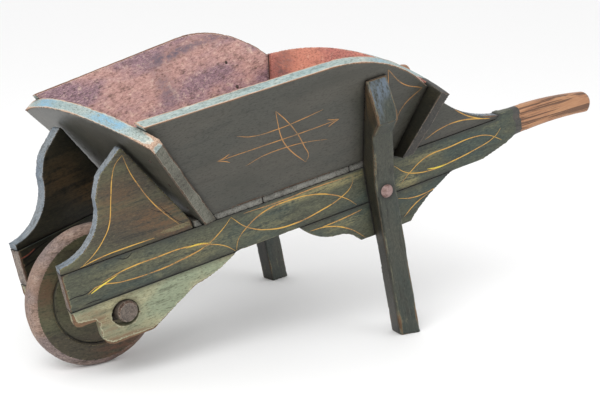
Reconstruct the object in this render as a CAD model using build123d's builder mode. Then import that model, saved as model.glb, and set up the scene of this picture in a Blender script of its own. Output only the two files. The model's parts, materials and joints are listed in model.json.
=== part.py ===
from build123d import *
import os
from math import cos, pi, radians, sin, sqrt, tan

# A small painted wooden wheelbarrow of the old farm kind.  Two long rails run from the wheel to the
# handles, closer together at the wheel.  They slope up to the rear and carry a tray of five boards.
# The wheel and its axle turn together in two brackets under the rails.
#
# World frame: +X from the wheel to the handles, +Z up, the barrow standing on Z = 0 and mirrored
# about Y = 0.  The left side, as seen by whoever pushes it, is on -Y.
# Bed frame: u runs up the slope from the front end of the rails, y is the world's Y, and w stands
# square to the slope.  The top edges of the rails lie at w = 0.
# Rail frame: s runs along the left rail's outer face from its front end, and w is as above.

# ---- Stance -----------------------------------------------------------------------------------
bed_tilt = 12.3
toe_in = 9.4
nose_half_width = 99.0

# ---- Wheel and axle -----------------------------------------------------------------------------
wheel_radius = 127.0
wheel_width = 36.0
tread_rounding = 13.0
groove_radius = 85.0
groove_width = 3.0
disc_thickness = 32.0
disc_clearance = 0.15
axle_diameter = 37.0
axle_hole_diameter = 46.0
axle_square = 48.0
axle_square_chamfer = 5.0
axle_square_clearance = 0.15
axle_end_chamfer = 2.0
axle_proud = 8.0
shoulder_gap = 3.0
seat_gap = 0.3
seat_lean = 30.0
axle_back = 89.0
axle_drop = 97.5

# ---- Rails and grips ----------------------------------------------------------------------------
rail_length = 1090.0
rail_height = 67.6
rail_thickness = 25.0
handle_start = 862.0
handle_rise = 8.0
handle_rise_run = 12.0
shoulder_start = 822.0
shoulder_rounding = 60.0
grip_start = 905.0
grip_height = 55.0
grip_waist_height = 47.0
grip_end_height = 40.0
grip_droop = 20.0
grip_sag = 5.0
grip_end_bulge = 11.0
grip_thickness = 28.0
grip_rounding = 11.0
grip_shoulder_chamfer = 6.0
grip_root_overlap = 12.0

# ---- Shaped boards above and below the rails ----------------------------------------------------
seam = 0.3
bracket_thickness = 22.0
scroll_thickness = 22.0
axle_bracket_length = 303.0
axle_bracket_nose_depth = 29.0
axle_bracket_nose_length = 36.0
axle_bracket_depth = 81.0
axle_lobe_front = 50.0
axle_lobe_rear = 37.5
axle_bracket_waist = 32.0
axle_bracket_waist_at = 216.0
axle_bracket_nose_rounding = 10.0
axle_lobe_rounding = 22.0
axle_lobe_corner = 12.0
axle_bracket_notch = 6.0
axle_bracket_tail_bow = 4.0
leg_bracket_start = 429.0
leg_bracket_length = 325.0
leg_bracket_depth = 66.0
leg_bracket_step = 40.0
leg_bracket_step_length = 70.0
leg_bracket_front_bow = 9.0
leg_bracket_lobe_length = 44.0
leg_bracket_lobe_bow = 6.0
leg_bracket_tail_length = 104.0
leg_bracket_tail_bow = 6.0
front_scroll_gap = 6.0
front_scroll_height = 176.0
front_scroll_neck = 86.0
front_scroll_neck_height = 105.0
front_scroll_nose = 12.0
front_scroll_peak_width = 47.0
front_scroll_shoulder = 139.0
front_scroll_peak_rounding = 50.0
front_scroll_tip_rounding = 5.0
front_scroll_rounding = 2.0
rear_scroll_height = 116.0
rear_scroll_radius = 230.0
rear_scroll_tip = 6.5
rear_scroll_gap = 0.4

# ---- Tray ---------------------------------------------------------------------------------------
front_board_at = 277.5
front_board_lean = 29.7
front_board_thickness = 22.5
front_board_height = 271.0
front_board_arch = 683.0
front_board_half_width = 143.0
front_board_flare = 20.6
back_board_at = 626.4
back_board_lean = 26.5
back_board_thickness = 20.5
back_board_height = 177.5
back_board_arch = 898.0
back_board_half_width = 227.6
back_board_flare = 27.0
side_board_thickness = 22.5
side_board_height = 231.0
side_board_flare = 20.1
side_board_inset = 1.6
side_board_crown = 500.0
side_board_fall = 250.0
floor_thickness = 12.8
floor_joint_fronts = (365.0, 536.0)
toe_strip_start = 236.5

# ---- Cross members ------------------------------------------------------------------------------
stretcher_stations = (268.0, 655.0)
stretcher_width = 30.0
stretcher_height = 46.0
stretcher_drop = 30.0
tenon_width = 14.0
tenon_height = 34.0
tenon_length = 14.0
tenon_clearance = 0.2

# ---- Legs and their bolts -----------------------------------------------------------------------
leg_start = 571.0
leg_width = 42.6
leg_thickness = 34.0
leg_rake = -0.3
leg_top = 172.0
leg_top_thickness = 5.0
leg_bulge_height = 95.0
leg_bulge_top = 112.0
leg_bulge_thickness = 84.0
leg_hip_height = 68.0
leg_hip_thickness = 57.0
leg_straight_to = -30.0
leg_chamfer = 3.0
leg_bolt_height = -44.0
bolt_radius = 4.75
bolt_hole_radius = 5.0
bolt_head_radius = 12.5
bolt_head_height = 7.0
bolt_dome_radius = 7.5
bolt_dome_height = 5.0
bolt_end = 4.0
washer_radius = 12.0
washer_thickness = 2.0
nut_radius = 9.5
nut_thickness = 8.0

# ---- Dowels and nails ---------------------------------------------------------------------------
dowel_radius = 5.0
dowel_clearance = 0.1
dowel_reach = 28.0
front_scroll_dowels = (60.0, 190.0)
rear_scroll_dowels = (745.0, 800.0)
axle_bracket_dowels = (22.0, 205.0)
leg_bracket_dowels = (500.0, 690.0)
bracket_dowel_reach = 25.0
nail_radius = 1.6
nail_head_radius = 3.6
nail_head_height = 1.2
nail_clearance = 0.1
nail_length = 48.0
floor_nail_length = 38.0
nail_edge = 22.0
front_nail_heights = (60.0, 125.0, 190.0)
back_nail_heights = (45.0, 95.0)
leg_nail_heights = (94.0, 148.0)

# ---- Frames worked out from the sizes -----------------------------------------------------------
tilt = radians(bed_tilt)
toe = radians(toe_in)
rail_reach = rail_length * cos(toe) - axle_back
grip_end_drop = axle_drop - grip_droop - grip_end_height / 2
axle_x = (wheel_radius - rail_reach * cos(tilt) + grip_end_drop * sin(tilt)) / 2
axle_centre = Vector(axle_x, 0, wheel_radius)

slope_dir = Vector(cos(tilt), 0, sin(tilt))
square_dir = Vector(-sin(tilt), 0, cos(tilt))
bed = Plane(
    origin=axle_centre - slope_dir * axle_back + square_dir * axle_drop,
    x_dir=slope_dir,
    z_dir=square_dir,
)
bed_section = Plane(origin=bed.origin, x_dir=slope_dir, z_dir=(0, -1, 0))


def bed_dir(u, y, w):
    """A direction given in the bed frame."""
    return bed.x_dir * u + bed.y_dir * y + bed.z_dir * w


def bed_point(u, y, w):
    """A point given in the bed frame."""
    return bed.origin + bed_dir(u, y, w)


rail_dir = bed_dir(cos(toe), -sin(toe), 0)
outward = bed_dir(-sin(toe), -cos(toe), 0)
rail_plane = Plane(origin=bed_point(0, -nose_half_width, 0), x_dir=rail_dir, z_dir=outward)
deck_plane = Plane(origin=rail_plane.origin, x_dir=rail_dir, z_dir=bed.z_dir)
inner_plane = rail_plane.offset(-rail_thickness)


def rail_point(s, depth, w):
    """A point in the rail frame, depth mm inward from the rail's outer face."""
    return rail_plane.origin + rail_dir * s - outward * depth + bed.z_dir * w


def half_width(u):
    """Half the width over the rails' outer faces at a station of the bed frame."""
    return nose_half_width + u * tan(toe)


front_lean = radians(front_board_lean)
back_lean = radians(back_board_lean)
flare = radians(side_board_flare)

front_plane = Plane(
    origin=bed_point(front_board_at, 0, 0),
    x_dir=(0, 1, 0),
    z_dir=bed_dir(cos(front_lean), 0, sin(front_lean)),
)
back_plane = Plane(
    origin=bed_point(back_board_at, 0, 0),
    x_dir=(0, 1, 0),
    z_dir=bed_dir(cos(back_lean), 0, -sin(back_lean)),
)
side_plane = Plane(
    origin=rail_plane.origin - outward * side_board_inset,
    x_dir=rail_dir,
    z_dir=outward * cos(flare) - bed.z_dir * sin(flare),
)
floor_top = bed.offset(floor_thickness)


def mirrored(plane):
    """The same plane on the right-hand side, still facing outwards."""
    return Plane(
        origin=(plane.origin.X, -plane.origin.Y, plane.origin.Z),
        x_dir=(plane.x_dir.X, -plane.x_dir.Y, plane.x_dir.Z),
        z_dir=(plane.z_dir.X, -plane.z_dir.Y, plane.z_dir.Z),
    )


def front_face_of_tray(w):
    """Where the front board's front face stands at a height above the rails, in the bed frame."""
    return front_board_at - front_board_thickness / cos(front_lean) - w * tan(front_lean)


def rear_face_of_tray(w):
    """Where the back board's rear face stands at a height above the rails, in the bed frame."""
    return back_board_at + back_board_thickness / cos(back_lean) + w * tan(back_lean)


# ---- Helpers ------------------------------------------------------------------------------------
os.makedirs("parts", exist_ok=True)


def write(piece, name):
    """Label one finished piece and write its STEP file."""
    piece.part.label = name
    export_step(piece.part, f"parts/{name}.step")


def write_pair(left, name):
    """Write a left-hand piece and its mirror image on the right."""
    write(left, f"left_{name}")
    with BuildPart() as right:
        mirror(left.part, about=Plane.XZ)
    write(right, f"right_{name}")


def both_sides(left):
    """One part that holds a left-hand group and its mirror image."""
    with BuildPart() as group:
        add(left.part)
        mirror(left.part, about=Plane.XZ)
    return group


def upright_rods(stations, low, high, radius, mode):
    """Round rods or holes that stand square to the bed, in the middle of the left rail."""
    with BuildSketch(deck_plane.offset(low)) as ends:
        with Locations(*[(s, rail_thickness / 2) for s in stations]):
            Circle(radius)
    extrude(ends.sketch, amount=high - low, mode=mode)


def dowel_holes(stations, low, high):
    """Holes for the dowels in whichever piece is being made."""
    upright_rods(stations, low, high, dowel_radius + dowel_clearance, Mode.SUBTRACT)


def nail(head_plane, length, extra, mode):
    """One nail, or its hole with extra clearance; the plane's +Z points out of the wood."""
    with BuildSketch(head_plane) as head:
        Circle(nail_head_radius + extra)
    extrude(head.sketch, amount=-nail_head_height, mode=mode)
    with BuildSketch(head_plane) as shank:
        Circle(nail_radius + extra)
    extrude(shank.sketch, amount=-length - extra, mode=mode)


# ---- Where the nails stand ----------------------------------------------------------------------
def side_mid_y(u, w):
    """The Y of the middle of the left side board's thickness at a bed station and height."""
    outer = half_width(u) + (w * tan(flare) - side_board_inset) / cos(toe)
    return -(outer - side_board_thickness / 2 / cos(flare) / cos(toe))


def front_nail_planes():
    """Head planes of the nails that go through the front board into the left side board."""
    planes = []
    for height in front_nail_heights:
        u = front_board_at - height * sin(front_lean)
        w = height * cos(front_lean)
        face = front_plane.offset(-front_board_thickness)
        origin = face.from_local_coords((side_mid_y(u, w), height, 0))
        planes.append(Plane(origin=origin, x_dir=face.x_dir, z_dir=-face.z_dir))
    return planes


def back_nail_planes():
    """Head planes of the nails that go through the back board into the left side board."""
    planes = []
    for height in back_nail_heights:
        u = back_board_at + height * sin(back_lean)
        w = height * cos(back_lean)
        face = back_plane.offset(back_board_thickness)
        origin = face.from_local_coords((side_mid_y(u, w), height, 0))
        planes.append(Plane(origin=origin, x_dir=face.x_dir, z_dir=face.z_dir))
    return planes


def leg_nail_planes():
    """Head planes of the nails that go through the left side board into the leg."""
    face = side_plane.offset(-side_board_thickness)
    planes = []
    for height in leg_nail_heights:
        origin = face.from_local_coords((leg_start + leg_width / 2, height, 0))
        planes.append(Plane(origin=origin, x_dir=face.x_dir, z_dir=-face.z_dir))
    return planes


def floor_edges():
    """The front and rear station of each floor board, measured on the underside."""
    starts = [front_board_at + seam, *[s + seam / 2 for s in floor_joint_fronts]]
    ends = [*[s - seam / 2 for s in floor_joint_fronts], back_board_at - seam]
    return list(zip(starts, ends))


def floor_nail_planes():
    """Head planes of the nails that hold the floor boards to the left rail."""
    planes = []
    for start, end in floor_edges():
        for u in (start + nail_edge, end - nail_edge):
            origin = rail_point(u / cos(toe), rail_thickness / 2, floor_thickness)
            planes.append(Plane(origin=origin, x_dir=rail_dir, z_dir=bed.z_dir))
    return planes


def drive(planes, length, extra, mode):
    """Every nail, or nail hole, of one list of head planes."""
    for plane in planes:
        nail(plane, length, extra, mode)


# ---- Rails --------------------------------------------------------------------------------------
def mortises(plane):
    """Pockets for the cross members' tenons in a rail's inner face."""
    with BuildSketch(plane) as mouths:
        with Locations(*[(u / cos(toe), -stretcher_drop) for u in stretcher_stations]):
            Rectangle(tenon_width + 2 * tenon_clearance, tenon_height + 2 * tenon_clearance)
    extrude(mouths.sketch, amount=tenon_length + tenon_clearance, mode=Mode.SUBTRACT)


with BuildPart() as grip:
    with BuildSketch(rail_plane.offset((grip_thickness - rail_thickness) / 2)):
        with BuildLine():
            root = grip_start - grip_root_overlap
            tip = rail_length - grip_end_bulge
            middle = (root + tip) / 2
            upper = ThreePointArc(
                (root, handle_rise), (middle, handle_rise - grip_sag),
                (tip, handle_rise - grip_droop),
            )
            nose = ThreePointArc(
                upper @ 1, (rail_length, handle_rise - grip_droop - grip_end_height / 2),
                (tip, handle_rise - grip_droop - grip_end_height),
            )
            lower = ThreePointArc(
                nose @ 1, (middle, handle_rise - grip_sag - grip_waist_height),
                (root, handle_rise - grip_height),
            )
            Line(lower @ 1, upper @ 0)
        make_face()
    extrude(amount=-grip_thickness)
    fillet(edges().filter_by(GeomType.CIRCLE), grip_rounding)

with BuildPart() as left_rail:
    with BuildSketch(rail_plane):
        with BuildLine():
            top = Polyline(
                (0, -rail_height), (0, 0), (handle_start, 0),
                (handle_start + handle_rise_run, handle_rise), (grip_start, handle_rise),
            )
            end = Line(top @ 1, (grip_start, handle_rise - grip_height))
            FilletPolyline(
                end @ 1, (shoulder_start, -rail_height), (0, -rail_height), radius=shoulder_rounding
            )
        make_face()
    extrude(amount=-rail_thickness)
    chamfer(faces().sort_by(Axis(rail_plane.origin, rail_dir))[-1].edges(), grip_shoulder_chamfer)
    add(grip.part)
    mortises(inner_plane)
    dowel_holes(front_scroll_dowels, -dowel_reach, seam)
    dowel_holes(rear_scroll_dowels, -dowel_reach, seam)
    dowel_holes(axle_bracket_dowels, -rail_height - seam, dowel_reach - rail_height)
    dowel_holes(leg_bracket_dowels, -rail_height - seam, dowel_reach - rail_height)
    with BuildSketch(inner_plane):
        with Locations((leg_start + leg_width / 2, leg_bolt_height)):
            Circle(bolt_hole_radius)
    extrude(amount=rail_thickness, mode=Mode.SUBTRACT)
    drive(floor_nail_planes(), floor_nail_length, nail_clearance, Mode.SUBTRACT)
write_pair(left_rail, "rail")


# ---- Shaped boards on the rails -----------------------------------------------------------------
front_scroll_top = (front_face_of_tray(front_scroll_height) - front_scroll_gap) / cos(toe)
front_scroll_rear = toe_strip_start / cos(toe) - scroll_thickness * tan(toe) - seam
front_scroll_heel = (front_face_of_tray(0) - front_scroll_gap - toe_strip_start) / tan(front_lean)

with BuildPart() as left_front_scroll:
    with BuildSketch(rail_plane):
        with BuildLine():
            peak = front_scroll_top - front_scroll_peak_width
            neck_height = front_scroll_neck_height
            sweep_height = neck_height - front_scroll_nose
            FilletPolyline(
                (front_scroll_rear, seam), (front_scroll_rear, front_scroll_heel),
                (front_scroll_top, front_scroll_height), (peak, front_scroll_shoulder),
                (front_scroll_neck, neck_height),
                radius=[
                    front_scroll_rounding, front_scroll_tip_rounding, front_scroll_peak_rounding,
                ],
            )
            curve = ThreePointArc(
                (front_scroll_neck, neck_height),
                (front_scroll_neck * sin(pi / 4), neck_height - sweep_height * cos(pi / 4)),
                (0, front_scroll_nose),
            )
            Polyline(curve @ 1, (0, seam), (front_scroll_rear, seam))
        make_face()
    extrude(amount=-scroll_thickness)
    dowel_holes(front_scroll_dowels, 0, dowel_reach)
write_pair(left_front_scroll, "front_scroll")

with BuildPart() as left_rear_scroll:
    with BuildSketch(rail_plane):
        with BuildLine():
            head = rear_face_of_tray(rear_scroll_height) / cos(toe) + rear_scroll_gap
            foot = rear_face_of_tray(seam) / cos(toe) + rear_scroll_gap
            tail = handle_start + handle_rise_run * rear_scroll_tip / handle_rise - seam
            sweep = RadiusArc((head, rear_scroll_height), (tail, rear_scroll_tip), -rear_scroll_radius)
            Polyline(
                sweep @ 1, (handle_start - seam, seam), (foot, seam), (head, rear_scroll_height)
            )
        make_face()
    extrude(amount=-scroll_thickness)
    dowel_holes(rear_scroll_dowels, 0, dowel_reach)
write_pair(left_rear_scroll, "rear_scroll")

# The axle rides against the upper rear of its worn hole, because the load sits on it.
axle_rail_s = axle_back / cos(toe)
hole_slack = (axle_hole_diameter - axle_diameter) / 2 - seat_gap
lean = radians(seat_lean)
hole_centre = bed_point(
    axle_back - hole_slack * sin(lean), 0, -axle_drop - hole_slack * cos(lean)
)
hole_plane = Plane(origin=hole_centre, x_dir=slope_dir, z_dir=(0, -1, 0))

with BuildPart() as left_axle_bracket:
    with BuildSketch(rail_plane):
        with BuildLine():
            top = -rail_height - seam
            nose = top - axle_bracket_nose_depth
            low = top - axle_bracket_depth
            lobe_start = axle_rail_s - axle_lobe_front
            lobe_end = axle_rail_s + axle_lobe_rear
            waist = top - axle_bracket_waist
            outline = FilletPolyline(
                (axle_bracket_waist_at, waist), (lobe_end, low), (lobe_start, low),
                (lobe_start, nose), (0, nose), (0, top),
                radius=[axle_lobe_corner, axle_lobe_rounding, axle_bracket_notch,
                        axle_bracket_nose_rounding],
            )
            Line(outline @ 1, (axle_bracket_length, top))
            ThreePointArc(
                (axle_bracket_length, top),
                ((axle_bracket_length + axle_bracket_waist_at) / 2 + axle_bracket_tail_bow,
                 top - axle_bracket_waist / 2 - axle_bracket_tail_bow),
                outline @ 0,
            )
        make_face()
    extrude(amount=-bracket_thickness)
    with BuildSketch(hole_plane):
        Circle(axle_hole_diameter / 2)
    extrude(amount=2 * half_width(axle_back), mode=Mode.SUBTRACT)
    dowel_holes(axle_bracket_dowels, -rail_height - bracket_dowel_reach, -rail_height)
write_pair(left_axle_bracket, "axle_bracket")

with BuildPart() as left_leg_bracket:
    with BuildSketch(rail_plane):
        with BuildLine():
            top = -rail_height - seam
            low = top - leg_bracket_depth
            mid = top - leg_bracket_step
            front = leg_bracket_start
            cusp = front + leg_bracket_step_length
            rear = front + leg_bracket_length
            Polyline((rear, top), (front, top))
            first = SagittaArc((front, top), (cusp, mid), -leg_bracket_front_bow)
            second = SagittaArc(first @ 1, (cusp + leg_bracket_lobe_length, low), leg_bracket_lobe_bow)
            base = Line(second @ 1, (rear - leg_bracket_tail_length, low))
            SagittaArc(base @ 1, (rear, top), leg_bracket_tail_bow)
        make_face()
    extrude(amount=-bracket_thickness)
    dowel_holes(leg_bracket_dowels, -rail_height - bracket_dowel_reach, -rail_height)
write_pair(left_leg_bracket, "leg_bracket")


# ---- Tray ---------------------------------------------------------------------------------------
def cross_board(plane, thickness, height, arch, foot_half_width, end_flare):
    """A board across the tray with flared ends, an arched top and a foot level with the rails."""
    spread = tan(radians(end_flare))
    drop = height - arch
    half_sum = foot_half_width * spread - drop
    rest = foot_half_width**2 + drop**2 - arch**2
    corner = (sqrt(half_sum**2 - (1 + spread**2) * rest) - half_sum) / (1 + spread**2)
    corner_y = foot_half_width + spread * corner
    foot = -thickness
    foot_y = foot_half_width + spread * foot
    with BuildPart() as board:
        with BuildSketch(plane):
            with BuildLine():
                ThreePointArc((-corner_y, corner), (0, height), (corner_y, corner))
                Polyline((corner_y, corner), (foot_y, foot), (-foot_y, foot), (-corner_y, corner))
            make_face()
        extrude(amount=thickness)
        split(bisect_by=bed.offset(seam), keep=Keep.TOP)
    return board


def with_nail_holes(board, planes, length):
    """A board with the holes of its nails on both sides."""
    with BuildPart() as holes:
        drive(planes, length, nail_clearance, Mode.ADD)
        mirror(holes.part, about=Plane.XZ)
    with BuildPart() as drilled:
        add(board.part)
        add(holes.part, mode=Mode.SUBTRACT)
    return drilled


front_board = with_nail_holes(
    cross_board(
        front_plane.offset(-front_board_thickness), front_board_thickness, front_board_height,
        front_board_arch, front_board_half_width, front_board_flare,
    ),
    front_nail_planes(), nail_length,
)
write(front_board, "front_board")

back_board = with_nail_holes(
    cross_board(
        back_plane, back_board_thickness, back_board_height,
        back_board_arch, back_board_half_width, back_board_flare,
    ),
    back_nail_planes(), nail_length,
)
write(back_board, "back_board")

with BuildPart() as left_side_board:
    with BuildSketch(side_plane):
        with BuildLine():
            rear = side_board_crown + side_board_fall
            edge = Polyline(
                (rear, side_board_height - side_board_fall), (rear, -side_board_thickness),
                (0, -side_board_thickness), (0, side_board_height),
                (side_board_crown, side_board_height),
            )
            ThreePointArc(
                edge @ 1,
                (side_board_crown + side_board_fall * sin(pi / 4),
                 side_board_height - side_board_fall * (1 - cos(pi / 4))),
                edge @ 0,
            )
        make_face()
    extrude(amount=-side_board_thickness)
    split(bisect_by=floor_top.offset(seam), keep=Keep.TOP)
    split(bisect_by=front_plane.offset(seam), keep=Keep.TOP)
    split(bisect_by=back_plane.offset(-seam), keep=Keep.BOTTOM)
    drive(front_nail_planes(), nail_length, nail_clearance, Mode.SUBTRACT)
    drive(back_nail_planes(), nail_length, nail_clearance, Mode.SUBTRACT)
    drive(leg_nail_planes(), nail_length, nail_clearance, Mode.SUBTRACT)
write_pair(left_side_board, "side_board")


def bed_strip(corners, height):
    """A cross piece that fills a (u, w) outline and ends flush with the rails' outer faces."""
    with BuildPart() as strip:
        with BuildSketch(bed_section):
            with BuildLine():
                Polyline(*corners, close=True)
            make_face()
        extrude(amount=2 * half_width(back_board_at), both=True)
        split(bisect_by=rail_plane, keep=Keep.BOTTOM)
        split(bisect_by=mirrored(rail_plane), keep=Keep.BOTTOM)
        split(bisect_by=bed.offset(height), keep=Keep.BOTTOM)
    return strip


toe_strip = bed_strip(
    [
        (toe_strip_start, seam), (front_face_of_tray(0) - seam, seam),
        (front_face_of_tray(floor_thickness) - seam, floor_thickness),
        (toe_strip_start, floor_thickness),
    ],
    floor_thickness,
)
write(toe_strip, "toe_strip")

floor_names = ("front_floor_board", "middle_floor_board", "rear_floor_board")
for name, (start, end) in zip(floor_names, floor_edges()):
    front_bevel = floor_thickness * tan(front_lean) if name == floor_names[0] else 0
    rear_bevel = floor_thickness * tan(back_lean) if name == floor_names[-1] else 0
    plank = bed_strip(
        [
            (start, seam), (end, seam), (end + rear_bevel, floor_thickness),
            (start - front_bevel, floor_thickness),
        ],
        floor_thickness,
    )
    plank = with_nail_holes(plank, floor_nail_planes(), floor_nail_length)
    write(plank, name)


# ---- Cross members ------------------------------------------------------------------------------
def stretcher(u):
    """A cross member with a tenon at each end, housed in the rails."""
    with BuildPart() as left_tenon:
        with BuildSketch(inner_plane.offset(-tenon_length)):
            with Locations((u / cos(toe), -stretcher_drop)):
                Rectangle(tenon_width, tenon_height)
        extrude(amount=2 * tenon_length)
    with BuildPart() as bar:
        with BuildSketch(bed_section):
            with Locations((u, -stretcher_drop)):
                Rectangle(stretcher_width, stretcher_height)
        extrude(amount=half_width(u), both=True)
        split(bisect_by=inner_plane.offset(-seam), keep=Keep.BOTTOM)
        split(bisect_by=mirrored(inner_plane).offset(-seam), keep=Keep.BOTTOM)
        add(left_tenon.part)
        mirror(left_tenon.part, about=Plane.XZ)
    return bar


for name, station in zip(("front_stretcher", "rear_stretcher"), stretcher_stations):
    write(stretcher(station), name)


# ---- Legs and their bolts -----------------------------------------------------------------------
rake = radians(leg_rake)
leg_dir = bed.z_dir * cos(rake) + rail_dir * sin(rake)
leg_plane = Plane(
    origin=rail_point(leg_start, 0, 0), x_dir=outward, z_dir=outward.cross(leg_dir),
)
leg_reach = (bed_point(back_board_at, 0, 0).Z + nose_half_width) / cos(tilt)


def flare_at(w):
    """How far outside the rail's face the side board's outer face stands at a height."""
    return w * tan(flare) - side_board_inset


with BuildPart() as left_leg:
    with BuildSketch(leg_plane):
        with BuildLine():
            foot = -leg_reach
            knee = (side_board_inset - seam) / tan(flare)
            Polyline(
                (seam, foot), (seam, knee), (flare_at(leg_top) + 2 * seam, leg_top),
                (flare_at(leg_top) + leg_top_thickness, leg_top),
                (leg_bulge_thickness, leg_bulge_top),
                (leg_bulge_thickness, leg_bulge_height), (leg_hip_thickness, leg_hip_height),
                (leg_thickness, leg_straight_to), (leg_thickness, foot), (seam, foot),
            )
        make_face()
    extrude(amount=-leg_width)
    middle = leg_plane.offset(-leg_width / 2)
    outer_edges = []
    for edge in edges():
        spot = middle.to_local_coords(edge.center())
        proud = spot.X > leg_thickness - 1 and spot.X - flare_at(spot.Y) > leg_top_thickness
        if proud and abs(abs(spot.Z) - leg_width / 2) < seam:
            outer_edges.append(edge)
    chamfer(outer_edges, leg_chamfer)
    split(bisect_by=Plane.XY, keep=Keep.TOP)
    with BuildSketch(rail_plane):
        with Locations((leg_start + leg_width / 2, leg_bolt_height)):
            Circle(bolt_hole_radius)
    extrude(amount=2 * leg_thickness, mode=Mode.SUBTRACT)
    drive(leg_nail_planes(), nail_length, nail_clearance, Mode.SUBTRACT)
write_pair(left_leg, "leg")

bolt_seat = rail_plane.offset(leg_thickness + seam)
bolt_axis = Axis(bolt_seat.from_local_coords((leg_start + leg_width / 2, leg_bolt_height, 0)), outward)
bolt_section = Plane(origin=bolt_axis.position, x_dir=rail_dir, z_dir=rail_dir.cross(outward))
bolt_grip = leg_thickness + seam + rail_thickness

with BuildPart() as left_leg_bolt:
    with BuildSketch(bolt_section):
        with BuildLine():
            shank_end = -bolt_grip - washer_thickness - nut_thickness - bolt_end
            dome = ThreePointArc(
                (0, bolt_head_height), (bolt_dome_radius, bolt_dome_height),
                (bolt_head_radius, 0),
            )
            Polyline(
                dome @ 1, (bolt_radius, 0), (bolt_radius, shank_end), (0, shank_end), dome @ 0,
            )
        make_face()
    revolve(axis=bolt_axis)
write_pair(left_leg_bolt, "leg_bolt")

nut_plane = Plane(
    origin=inner_plane.from_local_coords((leg_start + leg_width / 2, leg_bolt_height, 0)),
    x_dir=rail_dir, z_dir=outward,
)
with BuildPart() as left_leg_washer:
    with BuildSketch(nut_plane):
        Circle(washer_radius)
        Circle(bolt_hole_radius, mode=Mode.SUBTRACT)
    extrude(amount=-washer_thickness)
write_pair(left_leg_washer, "leg_washer")

with BuildPart() as left_leg_nut:
    with BuildSketch(nut_plane.offset(-washer_thickness)):
        RegularPolygon(nut_radius, 6)
        Circle(bolt_radius + nail_clearance, mode=Mode.SUBTRACT)
    extrude(amount=-nut_thickness)
write_pair(left_leg_nut, "leg_nut")


# ---- Dowels and nails ---------------------------------------------------------------------------
with BuildPart() as left_dowels:
    upright_rods(front_scroll_dowels, -dowel_reach + seam, dowel_reach - seam, dowel_radius, Mode.ADD)
    upright_rods(rear_scroll_dowels, -dowel_reach + seam, dowel_reach - seam, dowel_radius, Mode.ADD)
    upright_rods(
        (*axle_bracket_dowels, *leg_bracket_dowels), seam - rail_height - bracket_dowel_reach,
        dowel_reach - rail_height - seam, dowel_radius, Mode.ADD,
    )
write(both_sides(left_dowels), "rail_dowels")

nail_groups = (
    ("front_board_nails", front_nail_planes(), nail_length),
    ("back_board_nails", back_nail_planes(), nail_length),
    ("leg_nails", leg_nail_planes(), nail_length),
    ("floor_nails", floor_nail_planes(), floor_nail_length),
)
for name, planes, length in nail_groups:
    with BuildPart() as left_nails:
        drive(planes, length, 0, Mode.ADD)
    write(both_sides(left_nails), name)


# ---- Wheel --------------------------------------------------------------------------------------
wheel_plane = Plane(origin=axle_centre, x_dir=(1, 0, 0), z_dir=(0, -1, 0))
wheel_axis = Axis(axle_centre, (0, 1, 0))
wheel_section = Plane(origin=axle_centre, x_dir=(1, 0, 0), z_dir=(0, 0, 1))
groove_inner = groove_radius - disc_clearance
square_cut = axle_square + 2 * axle_square_clearance

with BuildPart() as wheel_disc:
    with BuildSketch(wheel_plane):
        Circle(groove_inner)
        Rectangle(square_cut, square_cut, mode=Mode.SUBTRACT)
    extrude(amount=disc_thickness / 2, both=True)
    chamfer(edges().filter_by(GeomType.CIRCLE), groove_width)
write(wheel_disc, "wheel_disc")

with BuildPart() as wheel_rim:
    with BuildSketch(wheel_section):
        with Locations(((groove_radius + wheel_radius) / 2, 0)):
            Rectangle(wheel_radius - groove_radius, wheel_width)
        fillet(vertices().group_by(Axis.X)[-1], tread_rounding)
        chamfer(vertices().group_by(Axis.X)[0], groove_width)
    revolve(axis=wheel_axis)
write(wheel_rim, "wheel_rim")

# The axle is square through the wheel and turned round where it runs in the brackets.
journal_start = half_width(axle_back - axle_square / 2) - bracket_thickness / cos(toe) - shoulder_gap
axle_half_length = half_width(axle_back) + axle_proud
with BuildPart() as axle:
    with BuildSketch(wheel_plane):
        Rectangle(axle_square, axle_square)
        chamfer(vertices(), axle_square_chamfer)
    extrude(amount=journal_start, both=True)
    with BuildSketch(wheel_plane):
        Circle(axle_diameter / 2)
    extrude(amount=axle_half_length, both=True)
    chamfer(edges().filter_by(GeomType.CIRCLE).sort_by(Axis.Y)[0], axle_end_chamfer)
    chamfer(edges().filter_by(GeomType.CIRCLE).sort_by(Axis.Y)[-1], axle_end_chamfer)
write(axle, "axle")
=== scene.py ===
# %% [markdown]
# # An old painted wheelbarrow
#
# This lesson dresses a small wooden farm barrow. Its boards, rails, legs and wheel come from an exact
# workshop model, in metres, and stand where they belong. What that model lacks is age: arrises
# rounded by hands and weather, paint that has worn through to the wood, hand-painted striping,
# rusty nails, and a grip that is bare because it is held.
#
# Every wooden piece is a copy of the exact one with an even skin of small faces. On such a skin wear can
# be real shape, and each point can carry numbers that the paint reads: where it lies along the grain, how
# worn it is, where stains lie and, on the legs, a painted highlight, and how near the next board is, which
# darkens corners with dirt and painted shade.

# %% Load the exact model
import json
import math

import bmesh
import bpy
import numpy as np
from mathutils import Matrix, Vector, kdtree, noise
from mathutils.bvhtree import BVHTree


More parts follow.
